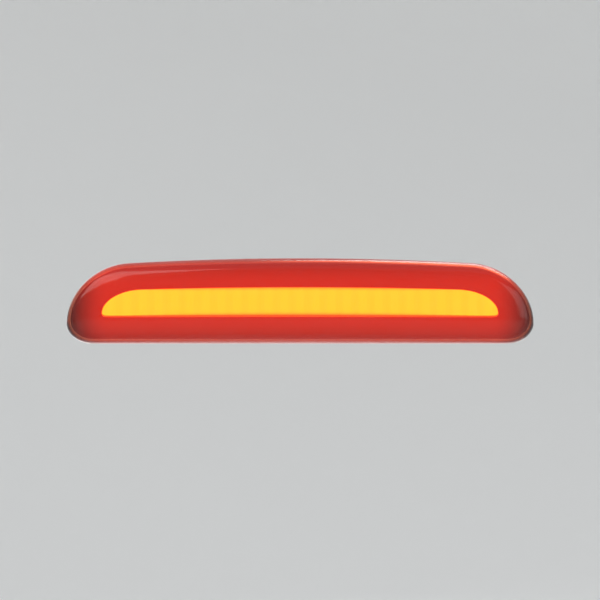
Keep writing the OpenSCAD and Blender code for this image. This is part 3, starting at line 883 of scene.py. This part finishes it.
PHOSPHOR = plain(
    "led_phosphor",
    (0.95, 0.7, 0.15),
    0.12,
    Emission_Color=(1, 0.62, 0.2, 1),
    Emission_Strength=4.0,
)
BRASS = plain("tinned_brass", (0.72, 0.66, 0.50), 0.3, 1.0, 0.6 * MM)
soft_cad("housing", BLACK_ABS, 0.3 * MM)
soft_cad("lens_seal", plain("seal_black", (0.02, 0.02, 0.02), 0.6))
soft_cad("reflector_tray", plain("tray_white", (0.86, 0.85, 0.82), 0.4), 0.2 * MM)
soft_cad("tray_screws", CLEAR_ZINC, 0.08 * MM)
soft_cad("led_board", circuit_board(), 0.1 * MM)
soft_cad("led_packages", plain("led_body", (0.85, 0.84, 0.78), 0.35), 0.12 * MM)
soft_cad("led_domes", PHOSPHOR)
soft_cad("series_resistors", plain("chip_black", (0.03, 0.03, 0.035), 0.35), 0.1 * MM)
soft_cad("current_regulator", plain("regulator_black", (0.04, 0.04, 0.045), 0.45), 0.05 * MM)
soft_cad("input_capacitor", plain("capacitor_can", (0.7, 0.71, 0.73), 0.3, 1.0), 0.1 * MM)
soft_cad("reverse_diode", plain("diode_black", (0.03, 0.03, 0.032), 0.4), 0.1 * MM)
soft_cad("surge_suppressor", plain("suppressor_black", (0.03, 0.03, 0.032), 0.4), 0.1 * MM)
soft_cad("positive_terminal", BRASS, 0.08 * MM)
soft_cad("negative_terminal", BRASS, 0.08 * MM)
soft_cad("solder_joints", plain("solder_tin", (0.68, 0.69, 0.71), 0.25, 1.0))
soft_cad("vent_membrane", plain("membrane_white", (0.82, 0.82, 0.79), 0.8))


# ---- Studio ----------------------------------------------------------------------------------


def pale_paper():
    """Matt pale paper that doesn't hide the lamp from a camera behind or under it."""
    look = Look("pale_paper", (0.82, 0.82, 0.81), 0.85)
    behind = look.tree.nodes.new("ShaderNodeNewGeometry").outputs["Backfacing"]
    look.show(look.mix_shaders(behind, look.shader, look.node("BsdfTransparent")))
    return look.mat


def make_backdrop():
    """A pale floor that curves up into a round wall."""
    floor_z, wall_r, sweep, top = -0.2, 4.0, 1.2, 4.5
    floor_r, sweep_steps, count = wall_r - sweep, 12, 96
    profile = [(1.0, floor_z), (floor_r, floor_z)]
    for i in range(1, sweep_steps + 1):
        a = math.pi / 2 * i / sweep_steps
        profile.append((floor_r + sweep * math.sin(a), floor_z + sweep - sweep * math.cos(a)))
    profile.append((wall_r, top))
    turns = [2 * math.pi * j / count for j in range(count)]
    bm = bmesh.new()
    rows = [[bm.verts.new((0, 0, floor_z))] * count]
    for r, z in profile:
        rows.append([bm.verts.new((r * math.cos(a), r * math.sin(a), z)) for a in turns])
    for a, b in zip(rows, rows[1:]):
        for j in range(count):
            k = (j + 1) % count
            add_face(bm, a[j], a[k], b[k], b[j])
    backdrop = finish_mesh("backdrop", bm)
    if backdrop.data.polygons[0].normal.z < 0:
        backdrop.data.flip_normals()
    dress(backdrop, pale_paper())


def area_light(name, place_at, size, watts, colour=(1, 1, 1)):
    """A soft rectangular light that faces the lamp and that the camera doesn't see directly."""
    data = bpy.data.lights.new(name, "AREA")
    data.shape = "RECTANGLE"
    data.size, data.size_y = size
    data.energy = watts
    data.color = colour
    light = bpy.data.objects.new(name, data)
    light.location = place_at
    light.rotation_euler = (-Vector(place_at)).to_track_quat("-Z", "Y").to_euler()
    light.visible_camera = False
    bpy.context.scene.collection.objects.link(light)


def make_camera():
    """Straight in front of the lens, and a little below it."""
    fill = 0.78  # share of the picture's width that the lens takes
    distance, elevation = 1.9, math.radians(-5)
    target = Vector((0, (lens_low.y + lens_high.y) / 2, 0))
    data = bpy.data.cameras.new("camera")
    data.sensor_width = 36
    data.lens = data.sensor_width * distance / ((lens_high.x - lens_low.x) / fill)
    data.clip_start, data.clip_end = 0.05, 50
    camera = bpy.data.objects.new("camera", data)
    back = Vector((0, -math.cos(elevation), math.sin(elevation)))
    camera.location = target + back * distance
    camera.rotation_euler = (-back).to_track_quat("-Z", "Y").to_euler()
    bpy.context.scene.collection.objects.link(camera)
    bpy.context.scene.camera = camera


def make_studio():
    """A pale sky and four soft lights."""
    scene = bpy.context.scene
    scene.view_settings.view_transform = "Standard"
    world = bpy.data.worlds.new("soft_sky")
    world.use_nodes = True
    sky = world.node_tree.nodes["Background"]
    sky.inputs["Color"].default_value = (0.93, 0.96, 1.0, 1)
    sky.inputs["Strength"].default_value = 0.75
    scene.world = world
    area_light("key", (-1.3, -1.6, 1.8), (2.0, 1.4), 18, (1, 0.98, 0.95))
    area_light("fill", (1.9, -1.4, 0.8), (1.6, 1.6), 8)
    area_light("back_key", (0.8, 1.5, 2.2), (1.6, 1.1), 20)
    area_light("back_fill", (-1.2, 2.2, 0.2), (2.0, 1.8), 8)


make_backdrop()
make_studio()
make_camera()
